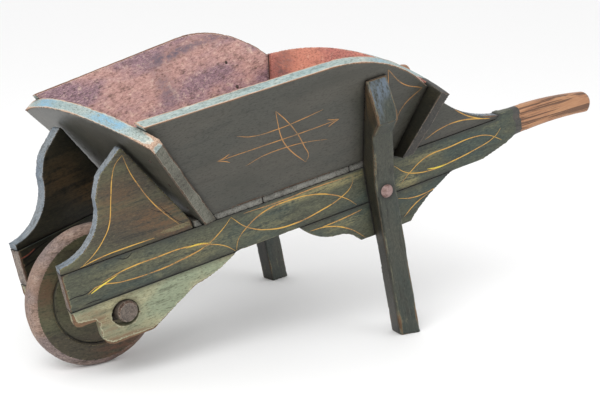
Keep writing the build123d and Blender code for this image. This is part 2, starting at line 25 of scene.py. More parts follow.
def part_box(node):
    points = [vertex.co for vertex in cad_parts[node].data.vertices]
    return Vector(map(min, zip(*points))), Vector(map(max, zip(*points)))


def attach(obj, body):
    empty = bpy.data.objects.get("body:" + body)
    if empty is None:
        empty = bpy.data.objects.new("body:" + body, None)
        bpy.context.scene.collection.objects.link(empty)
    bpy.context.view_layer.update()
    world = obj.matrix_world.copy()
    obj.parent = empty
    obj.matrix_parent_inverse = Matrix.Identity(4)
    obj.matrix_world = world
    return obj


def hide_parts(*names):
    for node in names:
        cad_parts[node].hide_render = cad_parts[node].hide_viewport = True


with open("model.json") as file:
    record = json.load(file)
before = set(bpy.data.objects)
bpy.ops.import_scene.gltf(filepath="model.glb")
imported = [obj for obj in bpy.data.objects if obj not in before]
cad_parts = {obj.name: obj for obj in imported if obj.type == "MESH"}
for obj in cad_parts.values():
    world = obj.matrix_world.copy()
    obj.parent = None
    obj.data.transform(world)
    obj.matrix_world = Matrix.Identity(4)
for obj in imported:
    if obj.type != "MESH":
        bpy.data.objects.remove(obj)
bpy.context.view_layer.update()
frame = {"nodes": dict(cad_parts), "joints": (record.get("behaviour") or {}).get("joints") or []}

nodes = frame["nodes"]
MM = 0.001
print("pieces in the exact model:", len(nodes))

# %% [markdown]
# ## The directions of the barrow
#
# The rails slope up to the handles and draw together towards the wheel. Each board gets a frame of
# its own: the first direction runs along its grain, the second up or across the board, and the third out
# of its outer face. The right-hand side is the left one mirrored, so only the left is written out.

# %% Frames of the boards
bed_tilt = math.radians(12.3)
toe_in = math.radians(9.4)
side_flare = math.radians(20.1)
front_lean = math.radians(29.7)
back_lean = math.radians(26.5)
axle_back = 89 * MM
axle_drop = 97.5 * MM
nose_half_width = 99 * MM
side_board_inset = 1.6 * MM
front_board_at = 277.5 * MM
front_board_thickness = 22.5 * MM
back_board_at = 626.4 * MM
back_spread = 0.41  # how much wider the tray gets for each step up the back board
front_spread = 0.24  # and the same up the front board

axle_centre = Vector(frame["joints"][0]["pos_m"])
slope = Vector((math.cos(bed_tilt), 0, math.sin(bed_tilt)))
rise = Vector((-math.sin(bed_tilt), 0, math.cos(bed_tilt)))
nose = axle_centre - slope * axle_back + rise * axle_drop
across_barrow = Vector((0, 1, 0))
along_rail = slope * math.cos(toe_in) - across_barrow * math.sin(toe_in)
outward = -slope * math.sin(toe_in) - across_barrow * math.cos(toe_in)
MIRROR = Matrix.Diagonal((1, -1, 1, 1))


def board_frame(origin, along, up):
    """The frame of a board: along the grain, up the board, and out of its outer face."""
    columns = Matrix((along, up, along.cross(up))).transposed().to_4x4()
    columns.translation = origin
    return columns


rail_frame = board_frame(nose - across_barrow * nose_half_width, along_rail, rise)
side_up = rise * math.cos(side_flare) + outward * math.sin(side_flare)
side_frame = board_frame(rail_frame.translation - outward * side_board_inset, along_rail, side_up)
front_up = rise * math.cos(front_lean) - slope * math.sin(front_lean)
front_out = -slope * math.cos(front_lean) - rise * math.sin(front_lean)
front_frame = board_frame(
    nose + slope * front_board_at + front_out * front_board_thickness, -across_barrow, front_up
)
back_up = rise * math.cos(back_lean) + slope * math.sin(back_lean)
back_frame = board_frame(nose + slope * back_board_at, across_barrow, back_up)
floor_frame = board_frame(nose, across_barrow, slope)
leg_frame = board_frame(rail_frame.translation, -rise, along_rail)
axle_frame = board_frame(axle_centre, across_barrow, Vector((0, 0, 1)))
wheel_frame = board_frame(axle_centre, Vector((1, 0, 0)), Vector((0, 0, 1)))
for name, made in (("front board", front_frame), ("side board", side_frame)):
    print(name, "faces", [round(x, 2) for x in made.col[2][:3]])

# %% [markdown]
# ## Small tools for building node trees
#
# Materials and Geometry Nodes are both trees of nodes. One helper adds a node, sets what it is given and
# links the sockets, so a recipe below reads like a list of steps instead of a page of links.

# %% Node helpers
def wire(tree, kind, sockets=None, **settings):
    """Add a node to a tree, set its properties, and fill or link its inputs."""
    made = tree.nodes.new(kind)
    for key, value in settings.items():
        setattr(made, key, value)
    for key, value in (sockets or {}).items():
        if isinstance(value, bpy.types.NodeSocket):
            tree.links.new(value, made.inputs[key])
        else:
            made.inputs[key].default_value = value
    return made


def add_object(name, data):
    """Put a mesh, curve, light or camera in the scene as a new object."""
    made = bpy.data.objects.new(name, data)
    bpy.context.scene.collection.objects.link(made)
    return made


def chart(red, green, blue):
    """A paint chart colour, 0 to 255, as the linear colour that a shader needs."""
    linear = [((c / 255 + 0.055) / 1.055) ** 2.4 for c in (red, green, blue)]
    return (*linear, 1.0)


def calc(tree, operation, first, second):
    """One sum on two values."""
    made = wire(tree, "ShaderNodeMath", {0: first, 1: second}, operation=operation)
    return made.outputs[0]


def soften(tree, value, low, high):
    """0 below low, 1 above high, and a smooth step between them."""
    made = wire(
        tree, "ShaderNodeMapRange", {"Value": value, "From Min": low, "From Max": high},
        interpolation_type="SMOOTHSTEP",
    )
    return made.outputs["Result"]


def tint(tree, amount, base, over, mode="MIX"):
    """Lay one colour over another by an amount."""
    made = wire(tree, "ShaderNodeMix", {0: amount, 6: base, 7: over}, data_type="RGBA", blend_type=mode)
    return made.outputs[2]


def cloud(tree, place, stretch, detail=4.0, roughness=0.55, distortion=0.0):
    """Soft noise with so many patches a metre along, up and out of the board."""
    scaled = wire(tree, "ShaderNodeMapping", {"Vector": place, "Scale": stretch})
    made = wire(
        tree, "ShaderNodeTexNoise",
        {"Vector": scaled.outputs[0], "Scale": 1.0, "Detail": detail, "Roughness": roughness,
         "Distortion": distortion},
    )
    return made.outputs["Fac"]


def numbers(tree, name):
    """A value that the mesh carries at each of its points."""
    return wire(tree, "ShaderNodeAttribute", attribute_name=name)


def start_material(name):
    """An empty material and its tree."""
    material = bpy.data.materials.new(name)
    material.use_nodes = True
    material.node_tree.nodes.clear()
    return material, material.node_tree


def end_material(tree, colour, roughness, height, relief, metallic=0.0):
    """Join a colour, a roughness and a height to the surface; relief is in metres."""
    bump = wire(tree, "ShaderNodeBump", {"Height": height, "Strength": 0.9, "Distance": relief})
    surface = wire(
        tree, "ShaderNodeBsdfPrincipled",
        {"Base Color": colour, "Roughness": roughness, "Metallic": metallic,
         "Normal": bump.outputs["Normal"]},
    )
    wire(tree, "ShaderNodeOutputMaterial", {"Surface": surface.outputs["BSDF"]})


# %% [markdown]
# ## Old paint on wood
#
# Oil paint on an outdoor tool goes in a known order. It mottles and dulls, it cracks along the grain,
# its edges turn chalky, and then it flakes off and leaves brown wood. The recipe lays those stages over
# each other. The mesh says roughly where it is worn, and streaks of noise along the grain decide
# exactly, so the border between paint and wood looks torn and follows the fibres.

# %% A recipe for old paint
def old_paint(name, coat, mottle, chalk, wood, stain, wear=0.0, crackle=0.35, roughness=0.5, grain=0.3,
              soot=0.75, along=11):
    """Worn paint: chart colours for it, a second colour in it, its chalky edge, wood and stains; on the legs
    the stains' colour is a painted highlight.
    """
    coat, mottle, chalk, wood, stain = (chart(*mixed) for mixed in (coat, mottle, chalk, wood, stain))
    material, tree = start_material(name)
    place = numbers(tree, "grain_at").outputs["Vector"]
    worn = numbers(tree, "worn").outputs["Fac"]
    stain_and_highlight_amount = numbers(tree, "stain_and_highlight_amount").outputs["Fac"]
    corner_shade_and_shelter = numbers(tree, "corner_shade_and_shelter").outputs["Fac"]
    broad = cloud(tree, place, (6, 15, 15), detail=5)
    blotch = cloud(tree, place, (13 + along, 62, 62), detail=6, roughness=0.62)
    streak = cloud(tree, place, (along, 120, 120), detail=7, roughness=0.65)
    fibre = cloud(tree, place, (30, 900, 900), detail=5, roughness=0.6)
    speck = cloud(tree, place, (260, 420, 420), detail=3)
    grit = cloud(tree, place, (140, 380, 380), detail=5, roughness=0.7)

    colour = tint(tree, soften(tree, broad, 0.40, 0.60), coat, mottle)
    thin = soften(tree, blotch, 0.56, 0.72)
    colour = tint(tree, calc(tree, "MULTIPLY", thin, grain), colour, chalk)
    smear = calc(tree, "ADD", calc(tree, "MULTIPLY", streak, 0.6), calc(tree, "MULTIPLY", blotch, 0.4))
    dirt = soften(tree, smear, 0.50, 0.36)
    colour = tint(tree, calc(tree, "MULTIPLY", dirt, soot), colour, (0.34, 0.32, 0.29, 1), "MULTIPLY")
    colour = tint(tree, soften(tree, grit, 0.50, 0.36), colour, (0.5, 0.48, 0.45, 1), "MULTIPLY")
    colour = tint(tree, calc(tree, "MULTIPLY", soften(tree, grit, 0.54, 0.68), grain), colour, chalk)
    torn = calc(tree, "ADD", calc(tree, "MULTIPLY", streak, 0.55), calc(tree, "MULTIPLY", grit, 0.45))
    stain_and_highlight_mask = calc(tree, "MULTIPLY", soften(tree, stain_and_highlight_amount, 0.05, 0.6), soften(tree, torn, 0.40, 0.58))
    colour = tint(tree, stain_and_highlight_mask, colour, stain)
    colour = tint(tree, soften(tree, speck, 0.66, 0.78), colour, chalk)

    scatter = calc(tree, "ADD", calc(tree, "MULTIPLY", calc(tree, "SUBTRACT", streak, 0.5), 1.3),
                   calc(tree, "MULTIPLY", calc(tree, "SUBTRACT", speck, 0.5), 0.55))
    flake = calc(tree, "ADD", calc(tree, "ADD", worn, wear), scatter)
    chalky = soften(tree, flake, 0.40, 0.56)
    bare = soften(tree, flake, 0.58, 0.70)
    timber = tint(tree, soften(tree, fibre, 0.35, 0.7), wood, (0.45, 0.38, 0.34, 1), "MULTIPLY")
    colour = tint(tree, calc(tree, "MULTIPLY", chalky, 0.7), colour, chalk)
    colour = tint(tree, bare, colour, timber)

    crazing = wire(tree, "ShaderNodeMapping", {"Vector": place, "Scale": (90, 330, 330)})
    cells = wire(tree, "ShaderNodeTexVoronoi", {"Vector": crazing.outputs[0], "Scale": 1.0},
                 feature="DISTANCE_TO_EDGE")
    line = soften(tree, cells.outputs["Distance"], 0.07, 0.0)
    crack = calc(tree, "MULTIPLY", calc(tree, "MULTIPLY", line, crackle), soften(tree, broad, 0.4, 0.62))
    colour = tint(tree, crack, colour, (0.02, 0.018, 0.015, 1))
    # Near the next board the colour darkens, as streaky dirt together with painted shade in the corner, and
    # right at the seam it turns near black, a painted shadow in the joint.
    corner_grime_and_shade = calc(tree, "MULTIPLY", soften(tree, corner_shade_and_shelter, 0.1, 0.9), calc(tree, "ADD", streak, 0.1))
    colour = tint(tree, corner_grime_and_shade, colour, (0.3, 0.27, 0.24, 1), "MULTIPLY")
    colour = tint(tree, soften(tree, corner_shade_and_shelter, 0.87, 0.96), colour, (0.012, 0.011, 0.01, 1))

    height = calc(tree, "SUBTRACT", calc(tree, "MULTIPLY", fibre, 0.5), calc(tree, "MULTIPLY", bare, 0.6))
    height = calc(tree, "SUBTRACT", height, calc(tree, "MULTIPLY", crack, 0.8))
    dull = wire(tree, "ShaderNodeMapRange", {"Value": bare, "To Min": roughness, "To Max": 0.85})
    end_material(tree, colour, dull.outputs["Result"], height, 0.5 * MM)
    return material


side_coat = old_paint(
    "grey_green_coat", (59, 59, 52), (66, 64, 56), (92, 90, 80), (115, 86, 64),
    (49, 49, 41), wear=-0.24, crackle=0.1, roughness=0.42, grain=0.12, soot=0.4,
)
green_coat = old_paint(
    "dark_green_coat", (48, 60, 53), (68, 71, 54), (114, 113, 84), (104, 80, 58),
    (128, 121, 82), wear=-0.04, crackle=0.45, grain=0.38,
)
# The legs' last colour here, a pale blue-grey, is laid on their shoulders as a painted highlight over worn
# paint.
leg_coat = old_paint(
    "leg_coat", (43, 50, 43), (56, 58, 48), (103, 101, 79), (109, 86, 62),
    (84, 96, 108), wear=-0.12, crackle=0.4, grain=0.22,
)
olive_coat = old_paint(
    "olive_coat", (128, 137, 112), (150, 145, 112), (170, 170, 142), (120, 94, 70),
    (112, 90, 66), wear=-0.06, crackle=0.3, roughness=0.6, grain=0.4,
)
scroll_coat = old_paint(
    "scroll_coat", (78, 78, 54), (58, 52, 38), (116, 112, 80), (92, 70, 46),
    (92, 66, 38), wear=0.05, crackle=0.5, grain=0.42, soot=0.85,
)
rim_coat = old_paint(
    "pale_blue_rim", (138, 158, 158), (156, 170, 166), (210, 206, 192), (200, 172, 150),
    (122, 162, 184), wear=-0.03, crackle=0.4, roughness=0.6, grain=0.4, soot=0.5,
)
edge_coat = old_paint(
    "blue_grey_edge", (105, 116, 126), (126, 133, 138), (160, 162, 162), (86, 79, 75),
    (86, 100, 115), wear=-0.08, crackle=0.5, roughness=0.6, grain=0.45, soot=0.8,
)
tray_coat = old_paint(
    "faded_red_tray", (186, 146, 138), (154, 124, 134), (228, 204, 184), (146, 106, 88),
    (86, 80, 96), wear=0.02, crackle=0.6, roughness=0.65, grain=0.5, soot=0.8, along=60,
)
back_coat = old_paint(
    "orange_red_tray", (206, 134, 112), (192, 120, 108), (222, 180, 158), (156, 102, 78),
    (112, 84, 82), wear=-0.04, crackle=0.5, roughness=0.65, grain=0.45, soot=0.6, along=40,
)
# A near-black copy of the green paint, used as painted shade on faces turned from the light: the inner faces
# of rails, scrolls and brackets, the forward sides of the legs and the back board's ends.
painted_shade_green_coat = old_paint(
    "green_coat_in_painted_shade", (31, 31, 25), (42, 40, 30), (86, 73, 51), (79, 58, 39),
    (82, 64, 42), wear=-0.1, crackle=0.3, roughness=0.4, grain=0.3,
)
end_coat = old_paint(
    "dark_board_end", (38, 37, 33), (50, 46, 40), (115, 107, 98), (98, 77, 62),
    (56, 53, 47), wear=0.0, crackle=0.5, roughness=0.6, grain=0.3,
)
grey_wood = old_paint(
    "weathered_grey_wood", (104, 104, 94), (88, 87, 78), (132, 128, 114), (92, 75, 62),
    (66, 64, 56), wear=0.03, crackle=0.5, roughness=0.75, grain=0.4,
)
plank_end = old_paint(
    "pale_plank_end", (132, 132, 126), (114, 114, 108), (160, 158, 150), (100, 84, 70),
    (80, 78, 72), crackle=0.5, roughness=0.75, grain=0.4,
)
wheel_coat = old_paint(
    "wheel_face_coat", (76, 76, 52), (62, 56, 40), (112, 104, 74), (90, 64, 47),
    (94, 62, 44), wear=0.02, crackle=0.4, roughness=0.6, grain=0.35,
)
tread_coat = old_paint(
    "scuffed_tread", (144, 120, 106), (126, 110, 106), (190, 172, 156), (112, 78, 58),
    (96, 66, 48), wear=0.1, crackle=0.6, roughness=0.75, grain=0.5, soot=0.9,
)
axle_coat = old_paint(
    "greasy_axle_wood", (110, 97, 88), (90, 80, 72), (148, 134, 122), (98, 77, 64),
    (66, 56, 51), wear=0.0, crackle=0.5, roughness=0.5, grain=0.4,
)
handle_coat = old_paint(
    "handle_coat", (64, 64, 59), (56, 55, 52), (98, 81, 68), (113, 79, 55),
    (53, 45, 41), wear=-0.05, crackle=0.3, roughness=0.45, grain=0.3,
)
print("paints mixed:", len(bpy.data.materials))

# %% [markdown]
# ## Bare grips, iron and striping paint
#
# The grips were never painted, or the paint has gone. Years of hands have polished them, and the soft
# wood between the rings has sunk, so dark lines run along them. Nails and bolts are forged iron with a
# thin coat of rust. The striping is yellow paint laid with a long thin brush, and it has faded in patches.

# %% Grip wood, iron and stripe
def grip_timber():
    """Orange-brown wood with dark sunken lines along it."""
    material, tree = start_material("handled_grip_wood")
    place = numbers(tree, "grain_at").outputs["Vector"]
    leaning = wire(tree, "ShaderNodeMapping", {"Vector": place, "Rotation": (0, 0, 0.05)}).outputs[0]
    ring = cloud(tree, leaning, (5, 230, 230), detail=4, roughness=0.55, distortion=0.5)
    fibre = cloud(tree, place, (40, 800, 800), detail=5)
    broad = cloud(tree, place, (14, 30, 30))
    line = soften(tree, ring, 0.47, 0.41)
    colour = tint(tree, soften(tree, broad, 0.35, 0.65), chart(166, 120, 84), chart(144, 98, 68))
    pale = calc(tree, "MULTIPLY", soften(tree, fibre, 0.4, 0.7), 0.35)
    colour = tint(tree, pale, colour, chart(190, 148, 112))
    colour = tint(tree, calc(tree, "MULTIPLY", line, 0.85), colour, chart(78, 50, 34))
    height = calc(tree, "SUBTRACT", calc(tree, "MULTIPLY", fibre, 0.3), line)
    end_material(tree, colour, 0.5, height, 0.9 * MM)
    return material


def rusty_iron(name, bright, dark):
    """Forged iron under thin rust."""
    material, tree = start_material(name)
    place = wire(tree, "ShaderNodeTexCoord").outputs["Object"]
    patch = cloud(tree, place, (130, 130, 130), detail=5)
    pit = cloud(tree, place, (700, 700, 700), detail=3)
    colour = tint(tree, soften(tree, patch, 0.38, 0.62), bright, dark)
    colour = tint(tree, soften(tree, pit, 0.6, 0.75), colour, chart(58, 44, 38))
    rough = wire(tree, "ShaderNodeMapRange", {"Value": patch, "To Min": 0.45, "To Max": 0.8})
    end_material(tree, colour, rough.outputs["Result"], pit, 0.25 * MM, metallic=0.35)
    return material


def striping_paint(name, fresh, faded, gone):
    """Thin brushed paint that fades in patches to the colour of what lies under it."""
    material, tree = start_material(name)
    place = wire(tree, "ShaderNodeTexCoord").outputs["Object"]
    patch = cloud(tree, place, (28, 28, 28), detail=4)
    grit = cloud(tree, place, (380, 380, 380), detail=3)
    colour = tint(tree, soften(tree, patch, 0.38, 0.62), fresh, faded)
    loss = calc(tree, "ADD", calc(tree, "MULTIPLY", grit, 0.7), calc(tree, "MULTIPLY", patch, 0.5))
    lost = soften(tree, loss, 0.62, 0.78)
    colour = tint(tree, lost, colour, gone)
    end_material(tree, colour, 0.5, grit, 0.1 * MM)
    return material


grip_wood = grip_timber()
bolt_iron = rusty_iron("rusty_bolt_iron", chart(148, 124, 120), chart(112, 88, 82))
nail_iron = rusty_iron("dark_nail_iron", chart(76, 62, 56), chart(54, 44, 40))
stripe_paint = striping_paint("yellow_striping", chart(196, 152, 66), chart(160, 116, 62), chart(96, 88, 60))
bright_paint = striping_paint(
    "bright_striping", chart(214, 196, 66), chart(196, 160, 62), chart(120, 110, 66)
)
faint_paint = striping_paint("faded_striping", chart(172, 124, 68), chart(142, 104, 64), chart(96, 84, 64))
print("all materials:", len(bpy.data.materials))

# %% [markdown]
# ## Giving a board its age
#
# The exact boards have knife-sharp arrises, which no old tool has. A voxel remesh covers each board with
# an even skin of faces about two millimetres across, lined up with the board, and each point of it then
# goes to the nearest place on the exact surface. Points near an arris are pushed in, more in some
# places than in others, because knocks come in patches. The same distance from the arris becomes the
# number that the paint reads as wear, so colour and shape agree. Bevelling would be lighter, but it
# rounds every arris by the same amount and looks new.
#
# A corner between two boards is sheltered: nothing rubs there, and dirt gathers. So each point also
# carries how near the next board is. By that number the paint darkens the corners, as dirt and painted
# shade together, and lays a near-black line of painted shadow along each seam.

# %% Wear a board
skin = 2.2 * MM * 1
next_board_reach = 12 * MM
sharp_fold = 0.6  # radians between two faces that meet in an arris
shortest_arris = 1.8 * MM
front_facing = 0.6  # how far a face may lean and still belong to the front or the back
grain_step = 0.37  # how far the grain is moved from each board to the next
melt_passes = 25


def merged_shell(node):
    """The exact node as one closed shell, with its doubled corners joined."""
    shell = bmesh.new()
    shell.from_mesh(nodes[node].data)
    bmesh.ops.remove_doubles(shell, verts=shell.verts, dist=0.002 * MM)
    return shell


def arris_tree(shell, spacing):
    """A search tree of points along every sharp arris; the small rings of nail holes don't count."""
    spots = [Vector((9, 9, 9))]  # far away, for a piece with no arris
    for edge in shell.edges:
        if len(edge.link_faces) != 2 or edge.calc_length() <= shortest_arris:
            continue
        if edge.calc_face_angle() > sharp_fold:
            first, last = edge.verts[0].co, edge.verts[1].co
            steps = max(1, int(edge.calc_length() / spacing))
            spots += [first.lerp(last, i / steps) for i in range(steps + 1)]
    tree = kdtree.KDTree(len(spots))
    for i, spot in enumerate(spots):
        tree.insert(spot, i)
    tree.balance()
    return tree


def even_skin(name, shell, place, size):
    """A new object whose mesh covers the shell with faces of one size, lined up with the board."""
    turn = place.inverted()
    if turn.determinant() < 0:
        turn = Matrix.Diagonal((1, 1, -1, 1)) @ turn  # a reflection would turn the shell inside out
    mesh = bpy.data.meshes.new(name)
    shell.to_mesh(mesh)
    mesh.transform(turn)
    rough = add_object(name + "_rough", mesh)
    remesh = rough.modifiers.new("Even skin", "REMESH")
    remesh.mode = "VOXEL"
    remesh.voxel_size = size
    graph = bpy.context.evaluated_depsgraph_get()
    finished = bpy.data.meshes.new_from_object(rough.evaluated_get(graph))
    finished.name = name
    finished.transform(turn.inverted())
    bpy.data.objects.remove(rough)
    return add_object(name, finished)


def neighbours(node):
    """A search tree of the exact boards that stand within reach of this one."""
    low, high = (Vector(corner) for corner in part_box(node))
    corners, faces = [], []
    for other, thing in nodes.items():
        if other == node or other.endswith("nails") or other == "rail_dowels":
            continue
        other_low, other_high = (Vector(corner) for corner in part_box(other))
        apart = [max(low[k] - other_high[k], other_low[k] - high[k]) for k in range(3)]
        if max(apart) > next_board_reach:
            continue
        start = len(corners)
        corners += [vert.co[:] for vert in thing.data.vertices]
        faces += [[start + k for k in face.vertices] for face in thing.data.polygons]
    return BVHTree.FromPolygons(corners, faces) if faces else None


def spot_amount(point, spots):
    """How much the given patches, each (along, up, length, height, amount), add at a point in mm."""
    total = 0.0
    for along, up, length, height, amount in spots:
        far = ((point.x / MM - along) / length) ** 2 + ((point.y / MM - up) / height) ** 2
        total += amount * math.exp(-far)
    return total


def weather(piece, shell, place, near_boards, loss, reach, dents, rubbed, worn_spots, stain_spots, shift):
    """Round the arrises, dent the faces, and store where each point is on the grain and how worn it is."""
    mesh = piece.data
    count = len(mesh.vertices)
    points = np.empty(count * 3, np.float32)
    mesh.vertices.foreach_get("co", points)
    points = points.reshape(-1, 3)
    normals = np.empty(count * 3, np.float32)
    mesh.vertex_normals.foreach_get("vector", normals)
    normals = normals.reshape(-1, 3)
    arris = arris_tree(shell, 0.8 * MM)
    exact = BVHTree.FromBMesh(shell)
    inverse = place.inverted()
    grain = np.empty((count, 3), np.float32)
    worn = np.empty(count, np.float32)
    stain_and_highlight_amount = np.empty(count, np.float32)
    corner_shade_and_shelter = np.zeros(count, np.float32)
    push = np.empty(count, np.float32)
    for i in range(count):
        spot = exact.find_nearest(Vector(points[i]))[0]
        corner, _, distance = arris.find(spot)
        if distance < 0.5 * skin:
            spot = corner
        points[i] = spot
        local = inverse @ spot
        near = math.exp(-((distance / reach) ** 2))
        if near_boards:
            gap = near_boards.find_nearest(spot, next_board_reach)[3]
            if gap is not None:
                corner_shade_and_shelter[i] = 1 - gap / next_board_reach
                near *= 1 - corner_shade_and_shelter[i] ** 4
        patch = 0.5 + 0.5 * noise.noise(Vector((local.x * 22 + shift, local.y * 30, local.z * 30)))
        knock = max(0.0, noise.noise(Vector((local.x * 75, local.y * 75 + shift, local.z * 75))) - 0.1)
        push[i] = loss * near * (0.25 + 1.1 * patch * patch + 0.9 * knock) + dents * knock
        worn[i] = near * (rubbed + 0.75 * patch) + spot_amount(local, worn_spots)
        stain_and_highlight_amount[i] = spot_amount(local, stain_spots)
        grain[i] = (local.x + shift, local.y, local.z)
    mesh.vertices.foreach_set("co", (points - normals * push[:, None]).ravel())
    for name, kind, values in (("grain_at", "FLOAT_VECTOR", grain), ("worn", "FLOAT", worn),
                               ("stain_and_highlight_amount", "FLOAT", stain_and_highlight_amount), ("corner_shade_and_shelter", "FLOAT", corner_shade_and_shelter)):
        field = mesh.attributes.new(name, kind, "POINT")
        field.data.foreach_set("vector" if kind == "FLOAT_VECTOR" else "value", values.ravel())
    mesh.shade_smooth()
    mesh.update()


def paint_faces(piece, place, outside, inside, rim, rule=None):
    """Give each face the paint of the side that it is on; rule may pick another for a face."""
    mesh = piece.data
    finishes = [outside, inside, rim]
    inverse = place.inverted()
    turn = inverse.to_3x3()
    for face in mesh.polygons:
        facing = turn @ face.normal
        choice = outside if facing.z > front_facing else inside if facing.z < -front_facing else rim
        if rule:
            choice = rule(inverse @ face.center, facing, choice)
        if choice not in finishes:
            finishes.append(choice)
        face.material_index = finishes.index(choice)
    for finish in finishes:
        mesh.materials.append(finish)


def settle(piece, body, slot, *replaced):
    """Make a finished piece move with its body and stand for its exact nodes."""
    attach(piece, body)
    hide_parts(*replaced)


def melt(piece, place, start, stop):
    """Smooth away the step between two parts of one board, between two places along it."""
    shell = bmesh.new()
    shell.from_mesh(piece.data)
    inverse = place.inverted()
    zone = [point for point in shell.verts if start < (inverse @ point.co).x < stop]
    for _ in range(melt_passes):
        bmesh.ops.smooth_vert(
            shell, verts=zone, factor=0.5, use_axis_x=True, use_axis_y=True, use_axis_z=True
        )
    shell.to_mesh(piece.data)
    shell.free()


surfaces = {}


def aged_board(node, place, slot, outside, inside, rim, body="frame", loss=1.0 * MM, reach=2.4 * MM,
               dents=0.25 * MM, rubbed=0.35, fineness=1.0, rule=None, melt_zone=None, worn_spots=(),
               stain_spots=()):
    """One worn, painted copy of an exact piece."""
    shell = merged_shell(node)
    piece = even_skin(node + "_aged", shell, place, skin * fineness)
    shift = grain_step * len(surfaces)
    weather(piece, shell, place, neighbours(node), loss, reach, dents, rubbed, worn_spots, stain_spots, shift)
    if melt_zone:
        melt(piece, place, *melt_zone)
    paint_faces(piece, place, outside, inside, rim, rule)
    shell.free()
    surfaces[node] = piece
    settle(piece, body, slot, node)
    print(f"{node}: {len(piece.data.polygons)} faces")
    return piece


def both_sides(part, place, slot, outside, inside, rim, **options):
    """The same treatment on the left piece and on its mirror image."""
    aged_board("left_" + part, place, slot, outside, inside, rim, **options)
    aged_board("right_" + part, MIRROR @ place, slot, outside, inside, rim, **options)


# %% [markdown]
# ## Rails, with grips
#
# Each rail is one long board. It is green from its front end to the shoulder, where the paint stops and
# the bare grip begins. The front ends have lost their paint, and the green has rubbed thin where a load
# is tipped out. Those places are written as patches: how far along the rail, how high, how long and
# tall they are, and how strong. The step where the rail becomes the grip is smoothed away.

# %% Rails
paint_stops = 918 * MM
handle_band = 14 * MM
front_end = 20 * MM
grip_root = (884 * MM, 932 * MM)


def rail_rule(spot, facing, choice):
    """Bare wood on the grip, a dark band just ahead of it, and greasy wood on the front end."""
    ragged = 3 * MM * noise.noise(Vector((spot.y * 60, spot.z * 60, 0)))
    if spot.x > paint_stops + ragged:
        return grip_wood
    if spot.x > paint_stops - handle_band + 2 * ragged:
        return handle_coat
    return axle_coat if facing.x < -0.6 and spot.x < front_end else choice


# The inner faces of the rails take the near-black coat as painted shade.
both_sides(
    "rail", rail_frame, "rail_paint", green_coat, painted_shade_green_coat, green_coat, rule=rail_rule, loss=1.2 * MM,
    melt_zone=grip_root,
    worn_spots=[(0, -34, 14, 60, 0.5), (120, -10, 60, 8, 0.25), (330, -60, 60, 12, 0.2),
                (500, -8, 90, 7, 0.35), (640, -50, 20, 18, 0.3), (902, -20, 10, 60, -0.8)],
    stain_spots=[(480, -10, 120, 10, 0.7), (250, -40, 70, 20, 0.35), (655, -55, 25, 16, 0.8),
                 (700, -20, 60, 12, 0.4), (110, -25, 80, 18, 0.3), (380, -40, 60, 16, 0.3)],
)

# %% [markdown]
# ## Scrolls and brackets
#
# Sawn boards with curved edges stand on the rails before and behind the tray, and hang under them at
# the axle and at the legs. Their sawn edges were painted a paler blue-grey. The axle brackets are
# nearly olive now, with brown where the paint has gone from their noses.

# %% Scrolls and brackets
# The inner faces of the scrolls and brackets take the near-black coat as painted shade.
both_sides(
    "front_scroll", rail_frame, "board_paint", scroll_coat, painted_shade_green_coat, edge_coat,
    worn_spots=[(215, 12, 60, 10, 0.4), (190, 50, 40, 12, 0.25), (150, 80, 40, 10, 0.15)],
    stain_spots=[(190, 40, 45, 22, 0.7), (225, 8, 50, 12, 0.8), (120, 90, 60, 50, 0.4)],
)
both_sides(
    "rear_scroll", rail_frame, "board_paint", side_coat, painted_shade_green_coat, edge_coat,
    worn_spots=[(850, 10, 22, 8, 0.7)], stain_spots=[(850, 8, 30, 10, 0.8)],
)
both_sides(
    "axle_bracket", rail_frame, "rail_paint", olive_coat, painted_shade_green_coat, olive_coat, reach=5 * MM,
    worn_spots=[(15, -92, 22, 12, 0.55), (60, -145, 60, 8, 0.45), (0, -80, 8, 30, 0.4)],
    stain_spots=[(20, -90, 30, 16, 0.9), (70, -148, 60, 10, 0.8), (60, -120, 60, 30, 0.4)],
)
both_sides(
    "leg_bracket", rail_frame, "rail_paint", green_coat, painted_shade_green_coat, green_coat,
    worn_spots=[(510, -85, 40, 10, 0.25)], stain_spots=[(520, -90, 50, 14, 0.4)],
)

# %% [markdown]
# ## The tray
#
# The two side boards, the front board and the back board lean outwards and hold the load. Outside they
# are dark, inside a faded red with blue-black stains, and their top edges are pale blue, worn to cream at
# the outer arris where hands and sacks pass over it.

# %% Tray boards
front_half_width = 131 * MM  # at the foot of the front board, between the side boards
back_half_width = 189 * MM
front_rim_starts = 218 * MM
back_rim_starts = 148 * MM

both_sides(
    "side_board", side_frame, "board_paint", side_coat, tray_coat, rim_coat,
    loss=1.2 * MM, reach=3.0 * MM, rubbed=0.9,
    worn_spots=[(620, 225, 60, 10, 0.2)],
    stain_spots=[(330, 60, 50, 30, 0.45), (430, 150, 30, 50, 0.4), (590, 205, 60, 12, 0.4),
                 (600, 60, 40, 40, 0.2), (270, 130, 30, 30, 0.35), (480, 205, 70, 14, 0.5)],
)


def front_rule(spot, facing, choice):
    """Grey wood at the two ends, pale blue on the arched top, and dark where it passes the sides."""
    if choice is tray_coat and abs(spot.x) > front_half_width + spot.y * front_spread:
        return side_coat
    return grey_wood if choice is rim_coat and spot.y < front_rim_starts else choice


aged_board(
    "front_board", front_frame, "board_paint", side_coat, tray_coat, rim_coat, rule=front_rule,
    loss=1.6 * MM, reach=3.6 * MM, rubbed=0.6,
    worn_spots=[(-225, 235, 30, 16, 0.6), (225, 235, 30, 16, 0.6), (-215, 190, 25, 50, 0.25)],
    stain_spots=[(-120, 262, 60, 14, 0.8), (120, 262, 60, 14, 0.8), (0, 120, 90, 60, 0.5)],
)


